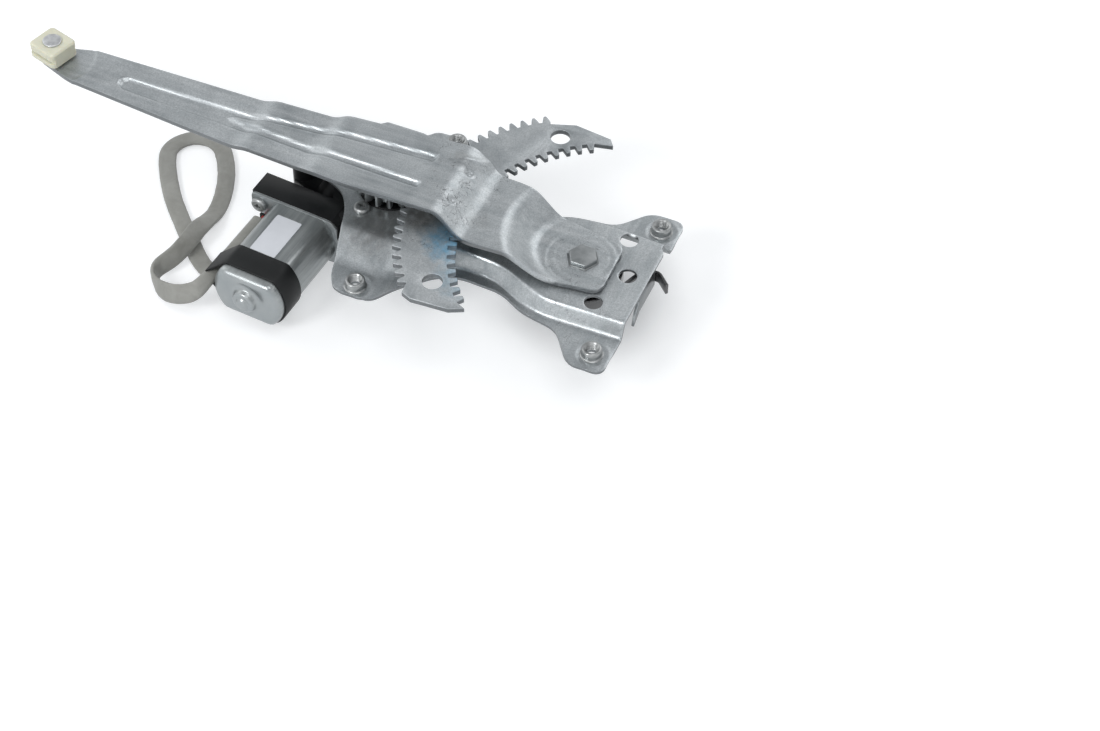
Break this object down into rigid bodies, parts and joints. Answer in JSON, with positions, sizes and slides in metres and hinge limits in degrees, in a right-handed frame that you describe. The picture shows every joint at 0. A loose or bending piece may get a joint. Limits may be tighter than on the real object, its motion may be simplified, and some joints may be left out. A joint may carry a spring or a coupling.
{
  "type": "window regulator",
  "caption": "Single-arm electric window regulator: pressed base plate, lift arm with toothed sector, spiral counterbalance spring, worm gear motor with sleeved lead.",
  "frame": {"origin": "on the lift arm's pivot axis, in the plane of the four lugs that bolt to the door panel", "axes": "+Z along the pivot axis from the door panel to the arm side; the arm points along -X at rest; +Y completes the frame"},
  "size_m": [0.3519, 0.1639, 0.0729],
  "materials": {
    "zinc_steel": "satin",
    "bright_steel": "satin",
    "zinc_cover": "satin",
    "black_plastic": "satin",
    "nylon": "satin",
    "spring_steel": "oiled",
    "rubber": "matte",
    "grey_sleeve": "matte",
    "bronze": "satin",
    "copper": "satin",
    "carbon": "matte",
    "ferrite": "matte",
    "red_wire": "gloss",
    "blue_wire": "gloss"
  },
  "bodies": {
    "frame": {"base_plate": "zinc_steel", "weld_nuts": "bright_steel", "pivot_bush": "bronze", "gear_housing": "black_plastic", "housing_cover": "zinc_cover", "gearbox_screws": "bright_steel", "ear_rivet": "bright_steel", "motor_can": "zinc_steel", "motor_screws": "bright_steel", "rear_bearing": "bronze", "front_bearing": "bronze", "nose_bearing": "bronze", "magnets": "ferrite", "brush_holder": "black_plastic", "brushes": "carbon", "cable_strap": "rubber", "wire_grommet": "rubber", "wire_red": "red_wire", "wire_blue": "blue_wire", "lead_sleeve": "grey_sleeve", "connector_shell": "nylon", "connector_terminals": "bronze", "spiral_spring": "spring_steel"},
    "arm": {"lift_arm": "zinc_steel", "sector_gear": "zinc_steel", "pivot_pin": "bright_steel", "pivot_ring": "bright_steel", "slider_stud": "bright_steel"},
    "slider": {"slider_block": "nylon"},
    "output": {"output_pinion": "bright_steel", "drive_plate": "bright_steel", "damper": "rubber", "worm_wheel": "nylon"},
    "armature": {"worm_shaft": "bright_steel", "armature_core": "ferrite", "windings": "copper", "commutator": "copper"}
  },
  "joints": [
    {"name": "arm_swing", "type": "hinge", "parent": "frame", "child": "arm", "pos_m": [0, 0, 0.011], "axis": [0, 0, 1], "range_deg": [-39, 45], "deforming": ["spiral_spring"]},
    {"name": "pinion_spin", "type": "hinge", "parent": "frame", "child": "output", "pos_m": [-0.10789, 0.00944, 0], "axis": [0, 0, 1], "range_deg": [-241, 209]},
    {"name": "armature_spin", "type": "hinge", "parent": "frame", "child": "armature", "pos_m": [-0.14228, 0.01215, -0.01], "axis": [-0.0785, -0.9969, 0], "range_deg": [-11700, 13500]},
    {"name": "slider_swivel", "type": "hinge", "parent": "arm", "child": "slider", "pos_m": [-0.2989, 0.0063, 0.035], "axis": [0, 0, 1], "continuous": true}
  ],
  "couplings": [
    {"joint": "pinion_spin", "follows": "arm_swing", "ratio": -5.3333},
    {"joint": "armature_spin", "follows": "arm_swing", "ratio": 298.67}
  ]
}
